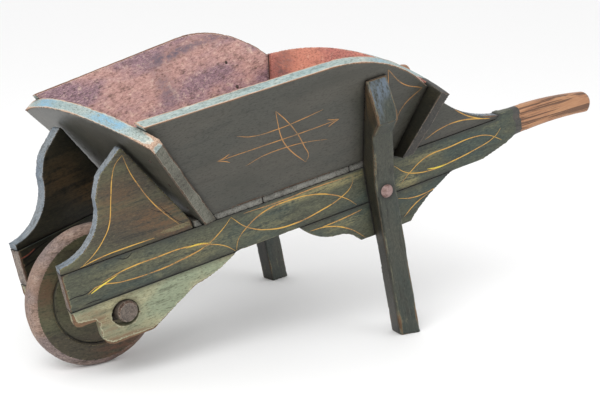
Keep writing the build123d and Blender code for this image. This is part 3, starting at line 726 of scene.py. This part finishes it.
def back_rule(spot, facing, choice):
    """The back board is orange-red inside; where it passes the side boards it gets painted shade, nearly
    black.
    """
    if choice is back_coat and abs(spot.x) > back_half_width + spot.y * back_spread:
        return painted_shade_green_coat
    if choice is rim_coat and spot.y < back_rim_starts:
        return end_coat
    return choice


aged_board(
    "back_board", back_frame, "board_paint", side_coat, back_coat, rim_coat, rule=back_rule,
    loss=1.4 * MM, worn_spots=[(-285, 150, 20, 14, 0.5), (285, 150, 20, 14, 0.5)],
    stain_spots=[(0, 60, 150, 30, 0.4), (-180, 120, 40, 60, 0.5), (180, 120, 40, 60, 0.5)],
)

# %% [markdown]
# ## The floor and its bearers
#
# Three planks lie across the rails and show at the sides as a thin grey strip. A narrow strip closes the
# gap before the front board, and two bearers join the rails underneath.

# %% Floor boards and bearers
for plank in ("front_floor_board", "middle_floor_board", "rear_floor_board", "toe_strip"):
    aged_board(plank, floor_frame, "bare_wood", plank_end,
               grey_wood if plank == "toe_strip" else tray_coat, plank_end, reach=2.5 * MM, loss=0.8 * MM,
               stain_spots=[(0, 450, 120, 60, 0.5)])
for bearer in ("front_stretcher", "rear_stretcher"):
    aged_board(bearer, floor_frame, "bare_wood", grey_wood, grey_wood, grey_wood)

# %% [markdown]
# ## Legs
#
# Each leg is hewn, not sawn: it swells where it passes the tray so that it can follow the flared side
# board. Its outer face is dark green-grey. The side that faces forward is painted nearly black, as
# painted shade on the side turned from the light. The shoulder above the swelling is worn, with a bare
# brown ridge, and laid with a pale blue-grey as a painted highlight where it turns up to the light.

# %% Legs
def leg_rule(spot, facing, choice):
    """Painted shade, nearly black, on the side that faces forward; like the outer face on the side that faces
    back.
    """
    return leg_coat if choice is painted_shade_green_coat and facing.y > 0.3 else choice


# The forward side takes the near-black coat as painted shade. The first spot in the list of stains and
# highlights lays the pale blue-grey painted highlight on the shoulder.
both_sides(
    "leg", leg_frame, "rail_paint", leg_coat, leg_coat, painted_shade_green_coat, rule=leg_rule, loss=1.6 * MM,
    worn_spots=[(-98, 612, 14, 7, 0.7), (-125, 571, 40, 3, 0.3), (300, 596, 22, 60, 0.5),
                (-172, 590, 5, 40, 0.4)],
    stain_spots=[(-172, 592, 30, 60, 1.1), (-120, 575, 30, 12, 0.4)],
)

# %% [markdown]
# ## The wheel
#
# The wheel is solid wood: an outer ring and an inner board with a turned groove between them, and a
# square axle through the middle. Only its tread touches the ground, so the tread is scuffed to a
# pinkish grey, while the faces keep some green.

# %% Wheel and axle
tread_shoulder = 115 * MM


def wheel_rule(spot, facing, choice):
    """The tread and its rounded shoulders are scuffed."""
    return tread_coat if math.hypot(spot.x, spot.y) > tread_shoulder else wheel_coat


aged_board(
    "wheel_rim", wheel_frame, "wheel_paint", wheel_coat, wheel_coat, tread_coat, body="wheel",
    rule=wheel_rule, fineness=0.75, loss=0.9 * MM, dents=0.9 * MM, worn_spots=[(0, -120, 80, 12, 0.2)],
    stain_spots=[(40, -100, 60, 30, 0.6), (-100, 30, 30, 60, 0.4)],
)
aged_board(
    "wheel_disc", wheel_frame, "wheel_paint", wheel_coat, wheel_coat, wheel_coat, body="wheel",
    fineness=0.75, loss=0.8 * MM, stain_spots=[(20, -60, 50, 40, 0.3)],
)
aged_board(
    "axle", axle_frame, "bare_wood", axle_coat, axle_coat, axle_coat, body="wheel", fineness=0.6,
    loss=0.8 * MM,
)

# %% [markdown]
# ## Bolts, washers and nuts
#
# One forged bolt holds each leg to its rail. A finer skin lets the hammered dome keep its small dents.

# %% Leg bolts
both_sides("leg_bolt", rail_frame, "iron", bolt_iron, bolt_iron, bolt_iron, fineness=0.35, loss=0.3 * MM,
           reach=1.5 * MM)
both_sides("leg_washer", rail_frame, "iron", nail_iron, nail_iron, nail_iron, fineness=0.35, loss=0.1 * MM,
           reach=1 * MM)
both_sides("leg_nut", rail_frame, "iron", nail_iron, nail_iron, nail_iron, fineness=0.35, loss=0.3 * MM,
           reach=1 * MM)
aged_board("rail_dowels", rail_frame, "bare_wood", grey_wood, grey_wood, grey_wood, fineness=0.6,
           loss=0.1 * MM, reach=1 * MM)

# %% [markdown]
# ## Nails
#
# Hand-made nails repeat, so one small Geometry Nodes tree makes them all: a faceted head and a shank,
# put on a point and turned to face along the direction that the point carries. The points come from
# the exact nails. The tree turns and sizes each nail a little differently, from a fixed seed.

# %% A tree for nails
def tree_inputs(tree, sockets):
    """Give a tree its named inputs and one output."""
    for title, kind, value in sockets:
        made = tree.interface.new_socket(title, in_out="INPUT", socket_type=kind)
        if value is not None:
            made.default_value = value
    tree.interface.new_socket("Mesh", in_out="OUTPUT", socket_type="NodeSocketGeometry")
    return wire(tree, "NodeGroupInput").outputs


def nail_recipe():
    """Rose-headed nails on points."""
    tree = bpy.data.node_groups.new("Hand-made nails", "GeometryNodeTree")
    given = tree_inputs(tree, [
        ("Places", "NodeSocketGeometry", None), ("Head radius", "NodeSocketFloat", 4.3 * MM),
        ("Head height", "NodeSocketFloat", 1.6 * MM), ("Shank radius", "NodeSocketFloat", 1.5 * MM),
        ("Shank length", "NodeSocketFloat", 40 * MM), ("Sunk", "NodeSocketFloat", 0.7 * MM),
        ("Seed", "NodeSocketInt", 3), ("Iron", "NodeSocketMaterial", None),
    ])
    crown = calc(tree, "MULTIPLY", given["Head radius"], 0.3)
    head = wire(tree, "GeometryNodeMeshCone", {
        "Vertices": 7, "Radius Top": crown, "Radius Bottom": given["Head radius"],
        "Depth": given["Head height"]})
    shank = wire(tree, "GeometryNodeMeshCylinder", {
        "Vertices": 6, "Radius": given["Shank radius"], "Depth": given["Shank length"]})
    below = calc(tree, "MULTIPLY", given["Shank length"], -0.5)
    drop = wire(tree, "ShaderNodeCombineXYZ", {"Z": below})
    lowered = wire(tree, "GeometryNodeTransform", {"Geometry": shank.outputs["Mesh"],
                                                   "Translation": drop.outputs[0]})
    whole = wire(tree, "GeometryNodeJoinGeometry")
    tree.links.new(head.outputs["Mesh"], whole.inputs[0])
    tree.links.new(lowered.outputs[0], whole.inputs[0])
    sink = calc(tree, "MULTIPLY", given["Sunk"], -1.0)
    sink_by = wire(tree, "ShaderNodeCombineXYZ", {"Z": sink})
    seated = wire(tree, "GeometryNodeTransform", {"Geometry": whole.outputs[0],
                                                  "Translation": sink_by.outputs[0]})
    facing = wire(tree, "GeometryNodeInputNamedAttribute", {"Name": "faces"}, data_type="FLOAT_VECTOR")
    turn = wire(tree, "FunctionNodeAlignRotationToVector", {"Vector": facing.outputs["Attribute"]}, axis="Z")
    size = wire(tree, "FunctionNodeRandomValue", {
        "Min": (0.85,) * 3, "Max": (1.1,) * 3, "Seed": given["Seed"]}, data_type="FLOAT_VECTOR")
    nails = wire(tree, "GeometryNodeInstanceOnPoints", {
        "Points": given["Places"], "Instance": seated.outputs[0], "Rotation": turn.outputs[0],
        "Scale": size.outputs["Value"]})
    spin = wire(tree, "FunctionNodeRandomValue", {"Min": (0, 0, 0), "Max": (0.12, 0.12, math.tau),
                                                  "Seed": given["Seed"]}, data_type="FLOAT_VECTOR")
    spun = wire(tree, "GeometryNodeRotateInstances", {"Instances": nails.outputs[0],
                                                      "Rotation": spin.outputs["Value"]})
    real = wire(tree, "GeometryNodeRealizeInstances", {"Geometry": spun.outputs[0]})
    made = wire(tree, "GeometryNodeSetMaterial", {"Geometry": real.outputs[0], "Material": given["Iron"]})
    wire(tree, "NodeGroupOutput", {"Mesh": made.outputs[0]})
    return tree


def run_tree(base, tree, inputs):
    """Run a tree on an object once, keep its result as a plain mesh, and drop the modifier."""
    step = base.modifiers.new(tree.name, "NODES")
    step.node_group = tree
    names = {item.name: item.identifier for item in tree.interface.items_tree if item.in_out == "INPUT"}
    for title, value in inputs.items():
        step[names[title]] = value
    graph = bpy.context.evaluated_depsgraph_get()
    mesh = bpy.data.meshes.new_from_object(base.evaluated_get(graph), depsgraph=graph)
    base.modifiers.clear()
    piece = add_object(base.name + "_made", mesh)
    bpy.data.objects.remove(base)
    return piece


def nail_places(node):
    """Where each exact nail's head is, and the way that it faces."""
    shell = merged_shell(node)
    seen = set()
    places = []
    for first in shell.verts:  # in the mesh's own order, so that the nails keep theirs from run to run
        if first in seen:
            continue
        seen.add(first)
        island, front = [], [first]
        while front:
            vert = front.pop()
            island.append(vert)
            for edge in vert.link_edges:
                other = edge.other_vert(vert)
                if other not in seen:
                    seen.add(other)
                    front.append(other)
        corners = np.array([v.co[:] for v in island])
        middle = corners.mean(axis=0)
        axis = np.linalg.svd(corners - middle)[2][0]
        run = (corners - middle) @ axis
        spread = np.linalg.norm(corners - middle - run[:, None] * axis, axis=1)
        if run[spread > spread.max() * 0.9].mean() < 0:
            axis, run = -axis, -run
        places.append((middle + axis * run.max(), axis))
    shell.free()
    return places


# %% Drive the nails
nails = nail_recipe()
shank_lengths = {"front_board_nails": 46 * MM, "back_board_nails": 46 * MM, "leg_nails": 46 * MM,
                 "floor_nails": 36 * MM}
for number, (node, length) in enumerate(shank_lengths.items()):
    places = nail_places(node)
    mesh = bpy.data.meshes.new(node)
    mesh.from_pydata([tuple(spot) for spot, axis in places], [], [])
    faces = mesh.attributes.new("faces", "FLOAT_VECTOR", "POINT")
    faces.data.foreach_set("vector", np.array([axis for spot, axis in places], np.float32).ravel())
    base = add_object(node + "_hand", mesh)
    piece = run_tree(base, nails, {"Shank length": length, "Seed": 11 + number, "Iron": nail_iron})
    settle(piece, "frame", "iron", node)
    print(node, len(places), "nails")

# %% [markdown]
# ## Striping
#
# A striper drags a long thin brush, so a stripe is a curve with a width that swells and then tapers.
# Each stroke below is a few points on its board, in millimetres along and up. A Geometry Nodes tree turns
# the strokes into thin ribbons of paint, and each ribbon is then laid down on the worn board.

# %% A tree for brush strokes
def stroke_recipe():
    """Flat ribbons along curves, thin at both ends, with a slight shake of the hand."""
    tree = bpy.data.node_groups.new("Brush strokes", "GeometryNodeTree")
    given = tree_inputs(tree, [
        ("Strokes", "NodeSocketGeometry", None), ("Width", "NodeSocketFloat", 2.6 * MM),
        ("Step", "NodeSocketFloat", 3 * MM), ("Shake", "NodeSocketFloat", 0.5 * MM),
        ("Seed", "NodeSocketInt", 5), ("Paint", "NodeSocketMaterial", None),
    ])
    even = wire(tree, "GeometryNodeResampleCurve", {"Curve": given["Strokes"], "Length": given["Step"]},
                mode="LENGTH")
    shake = wire(tree, "ShaderNodeTexNoise", {"Scale": 45.0, "Detail": 2.0, "W": given["Seed"]},
                 noise_dimensions="4D")
    centred = wire(tree, "ShaderNodeVectorMath", {0: shake.outputs["Color"], 1: (0.5, 0.5, 0.5)},
                   operation="SUBTRACT")
    amount = wire(tree, "ShaderNodeVectorMath", {0: centred.outputs[0], "Scale": given["Shake"]},
                  operation="SCALE")
    moved = wire(tree, "GeometryNodeSetPosition", {"Geometry": even.outputs[0], "Offset": amount.outputs[0]})
    along = wire(tree, "GeometryNodeSplineParameter")
    ends = calc(tree, "MULTIPLY", along.outputs["Factor"], math.pi)
    swell = wire(tree, "ShaderNodeMath", {0: ends}, operation="SINE")
    belly = calc(tree, "POWER", swell.outputs[0], 0.45)
    press = wire(tree, "ShaderNodeTexNoise", {"Scale": 30.0, "Detail": 1.0, "W": given["Seed"]},
                 noise_dimensions="4D")
    uneven = calc(tree, "ADD", press.outputs["Fac"], 0.45)
    radius = calc(tree, "MULTIPLY", belly, uneven)
    brush_size = calc(tree, "MAXIMUM", radius, 0.12)
    shaped = wire(tree, "GeometryNodeSetCurveRadius", {"Curve": moved.outputs[0], "Radius": brush_size})
    half = calc(tree, "MULTIPLY", given["Width"], 0.5)
    other = calc(tree, "MULTIPLY", given["Width"], -0.5)
    start = wire(tree, "ShaderNodeCombineXYZ", {"X": half})
    stop = wire(tree, "ShaderNodeCombineXYZ", {"X": other})
    brush = wire(tree, "GeometryNodeCurvePrimitiveLine", {"Start": start.outputs[0], "End": stop.outputs[0]})
    ribbon = wire(tree, "GeometryNodeCurveToMesh", {
        "Curve": shaped.outputs[0], "Profile Curve": brush.outputs[0], "Scale": brush_size})
    real = wire(tree, "GeometryNodeRealizeInstances", {"Geometry": ribbon.outputs[0]})
    made = wire(tree, "GeometryNodeSetMaterial", {"Geometry": real.outputs[0], "Material": given["Paint"]})
    wire(tree, "NodeGroupOutput", {"Mesh": made.outputs[0]})
    return tree


def strokes_as_curve(name, strokes):
    """Smooth curves through each stroke's points, drawn flat in the board's own frame."""
    curve = bpy.data.curves.new(name, "CURVE")
    curve.dimensions = "3D"
    for stroke in strokes:
        spline = curve.splines.new("BEZIER")
        spline.bezier_points.add(len(stroke) - 1)
        for knot, (along, up) in zip(spline.bezier_points, stroke):
            knot.co = (along * MM, up * MM, 0)
            knot.handle_left_type = knot.handle_right_type = "AUTO"
    return add_object(name, curve)


drop_height = 30 * MM


def lay_down(piece, place, board, lift):
    """Carry a flat ribbon to its board's frame and lay it on the worn wood; what misses the board goes."""
    wood = bmesh.new()
    wood.from_mesh(surfaces[board].data)
    ground = BVHTree.FromBMesh(wood)
    out = place.col[2].to_3d().normalized()
    ribbon = bmesh.new()
    ribbon.from_mesh(piece.data)
    missed = []
    for vert in ribbon.verts:
        start = place @ vert.co + out * drop_height
        hit = ground.ray_cast(start, -out, 2 * drop_height)[0]
        if hit is None:
            missed.append(vert)
        else:
            vert.co = hit + out * lift
    bmesh.ops.delete(ribbon, geom=missed, context="VERTS")
    for face in ribbon.faces:
        if face.normal.dot(out) < 0:
            face.normal_flip()
    ribbon.to_mesh(piece.data)
    ribbon.free()
    wood.free()
    piece.data.update()


brush_tree = stroke_recipe()


def paint_strokes(name, board, place, strokes, paint, width, shake=0.5 * MM, lift=0.22 * MM, seed=5):
    """Paint one set of strokes on one board, on both sides of the barrow."""
    for side, mirror in (("left", Matrix.Identity(4)), ("right", MIRROR)):
        base = strokes_as_curve(f"{side}_{name}", strokes)
        piece = run_tree(base, brush_tree, {"Width": width, "Shake": shake, "Seed": seed, "Paint": paint})
        lay_down(piece, mirror @ place, f"{side}_{board}", lift)
        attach(piece, "frame")
    print(name, len(strokes), "strokes a side")


# %% Strokes on the rails
stripe_width = 2.3 * MM
paint_strokes("rail_striping", "rail", rail_frame, [
    [(60, -35), (109, -27), (162, -26), (215, -27), (254, -36), (285, -50), (301, -65)],
    [(35, -46), (52, -39), (97, -46), (157, -49), (201, -46), (252, -37), (285, -20), (306, -4)],
    [(306, -4), (331, -31), (372, -50), (421, -56), (474, -50), (516, -40), (541, -26), (549, -8)],
    [(303, -65), (310, -48), (331, -31), (367, -15), (418, -11), (468, -17), (505, -31), (528, -46),
     (546, -64)],
    [(641, -56), (663, -41), (702, -23), (756, -20), (809, -18), (843, -25), (871, -43)],
    [(632, -16), (653, -36), (677, -46), (718, -51), (755, -49), (806, -43), (857, -31), (872, -19)],
], stripe_paint, stripe_width)
paint_strokes("rail_edge_striping", "rail", rail_frame, [
    [(330, -5), (400, -7), (470, -5), (545, -7)],
], faint_paint, 1.8 * MM, seed=8)
paint_strokes("rail_bright_striping", "rail", rail_frame, [
    [(40, -47), (60, -40), (92, -31)], [(215, -29), (240, -30), (262, -36)],
    [(700, -46), (722, -50), (748, -50)],
], bright_paint, 2.6 * MM, lift=0.35 * MM, seed=12)

# %% Strokes on the scrolls and brackets
paint_strokes("front_scroll_striping", "front_scroll", rail_frame, [
    [(147, 162), (132, 150), (123, 134), (111, 96), (98, 56), (87, 40), (62, 17), (39, 4)],
    [(147, 162), (153, 129), (161, 106), (174, 75), (192, 45), (214, 16)],
    [(34, 3), (76, 8), (119, 9), (167, 8)],
], stripe_paint, 1.8 * MM, seed=6)
paint_strokes("rear_scroll_striping", "rear_scroll", rail_frame, [
    [(757, 72), (788, 37), (822, 16), (851, 6)],
    [(705, 10), (740, 20), (785, 22), (851, 6)],
], stripe_paint, 2.0 * MM, seed=7)
paint_strokes("leg_bracket_striping", "leg_bracket", rail_frame, [
    [(445, -80), (481, -84), (524, -104), (552, -131)],
    [(471, -81), (509, -80), (555, -76)],
    [(631, -81), (658, -89), (690, -90), (730, -84)],
    [(637, -120), (667, -102), (696, -92)],
], stripe_paint, 2.1 * MM, seed=9)

# %% Strokes on the side boards
paint_strokes("side_board_striping", "side_board", side_frame, [
    [(287, 121), (380, 121), (450, 121), (521, 123)],
    [(312, 128), (300, 123), (287, 121)], [(312, 110), (300, 117), (287, 121)],
    [(499, 114), (508, 119), (521, 123)], [(497, 130), (508, 126), (521, 123)],
    [(399, 182), (401, 166), (410, 121), (424, 94), (454, 57)],
    [(399, 182), (416, 160), (439, 122), (452, 91), (460, 67), (454, 57)],
    [(326, 158), (352, 148), (407, 145), (443, 148), (490, 154)],
    [(340, 92), (370, 100), (415, 102), (452, 99), (498, 89)],
    [(617, 191), (650, 151), (690, 130)], [(690, 130), (652, 104), (632, 64)],
    [(617, 191), (621, 130), (628, 80)],
], faint_paint, 2.0 * MM, shake=0.3 * MM, seed=4)

# %% [markdown]
# ## Cracks
#
# A rail end that has stood in the wet opens along the grain. A crack is a dark ribbon with pointed
# ends, so the brush stroke tree makes it too, with a darker and wider stroke.

# %% Cracks in the wood
crack_dark = rusty_iron("crack_shadow", chart(22, 18, 16), chart(14, 12, 10))
paint_strokes("rail_cracks", "rail", rail_frame, [
    [(-6, -46), (14, -43), (30, -44), (48, -39)],
    [(26, -62), (40, -61), (58, -63)], [(96, -4), (112, -9), (124, -3)],
], crack_dark, 1.8 * MM, shake=1.2 * MM, lift=0.12 * MM, seed=2)
paint_strokes("scroll_cracks", "front_scroll", rail_frame, [
    [(232, 10), (214, 22), (196, 46), (186, 62)], [(170, 60), (184, 50), (206, 38)],
], crack_dark, 1.2 * MM, shake=1.0 * MM, lift=0.12 * MM, seed=3)
inner_rail = rail_frame @ Matrix.Diagonal((1, 1, -1, 1))  # the same frame, but facing into the barrow
fresh_split = rusty_iron("fresh_split", chart(132, 72, 58), chart(104, 58, 46))
paint_strokes("rail_split", "rail", inner_rail, [
    [(-4, -20), (16, -17), (40, -9), (62, -6)], [(-4, -34), (14, -29), (34, -28)],
], crack_dark, 3.4 * MM, shake=1.5 * MM, lift=0.12 * MM, seed=14)
paint_strokes("rail_split_edge", "rail", inner_rail, [
    [(-2, -15), (16, -13), (34, -8)],
], fresh_split, 2.6 * MM, shake=1.5 * MM, lift=0.16 * MM, seed=15)

# %% [markdown]
# ## Floor, light and camera
#
# A plain pale floor shows where the barrow stands. One big soft light from the front left of the camera
# and a bright surround give open shadows, as in a studio tent. The camera stands about two metres
# off, a little above the tray.

# %% Studio
ground = bpy.data.meshes.new("studio_floor")
reach = 9.0
ground.from_pydata([(-reach, -reach, 0), (reach, -reach, 0), (reach, reach, 0), (-reach, reach, 0)], [],
                   [(0, 1, 2, 3)])
studio_floor = add_object("studio_floor", ground)
pale, pale_tree = start_material("pale_floor")
wire(pale_tree, "ShaderNodeOutputMaterial", {"Surface": wire(
    pale_tree, "ShaderNodeBsdfPrincipled", {"Base Color": (0.93, 0.93, 0.93, 1), "Roughness": 0.9}
).outputs[0]})
ground.materials.append(pale)

world = bpy.data.worlds.new("studio_tent")
bpy.context.scene.world = world
world.use_nodes = True
world.node_tree.nodes["Background"].inputs["Color"].default_value = (1, 1, 1, 1)
world.node_tree.nodes["Background"].inputs["Strength"].default_value = 1.0


def soft_light(name, spot, aim, size, power):
    """A square soft box that points at aim."""
    lamp = bpy.data.lights.new(name, "AREA")
    lamp.size = size
    lamp.energy = power
    box = add_object(name, lamp)
    box.location = spot
    box.rotation_euler = (Vector(aim) - Vector(spot)).to_track_quat("-Z", "Y").to_euler()


soft_light("key", (-1.9, -1.3, 2.3), (0, 0, 0.3), 1.6, 46)
soft_light("fill", (1.6, -2.2, 1.6), (0, 0, 0.3), 2.0, 10)

# %% Camera
camera_yaw = math.radians(53.588)
camera_pitch = math.radians(-14.263)
camera_roll = math.radians(-0.456)
camera_from_axle = Vector((-0.9034, -1.8270, 0.7890))
lens = bpy.data.cameras.new("camera")
lens.lens = 72.83
lens.sensor_width = 36
camera = add_object("camera", lens)
view = Vector((math.cos(camera_pitch) * math.cos(camera_yaw), math.cos(camera_pitch) * math.sin(camera_yaw),
               math.sin(camera_pitch)))
right = Vector((math.sin(camera_yaw), -math.cos(camera_yaw), 0))
up = right.cross(view)
level = Matrix((right, up, -view)).transposed()
camera.matrix_world = Matrix.Translation(
    camera_from_axle + Vector((axle_centre.x, 0, 0))
) @ (level @ Matrix.Rotation(camera_roll, 3, "Z")).to_4x4()
bpy.context.scene.camera = camera
bpy.context.scene.view_settings.view_transform = "Standard"
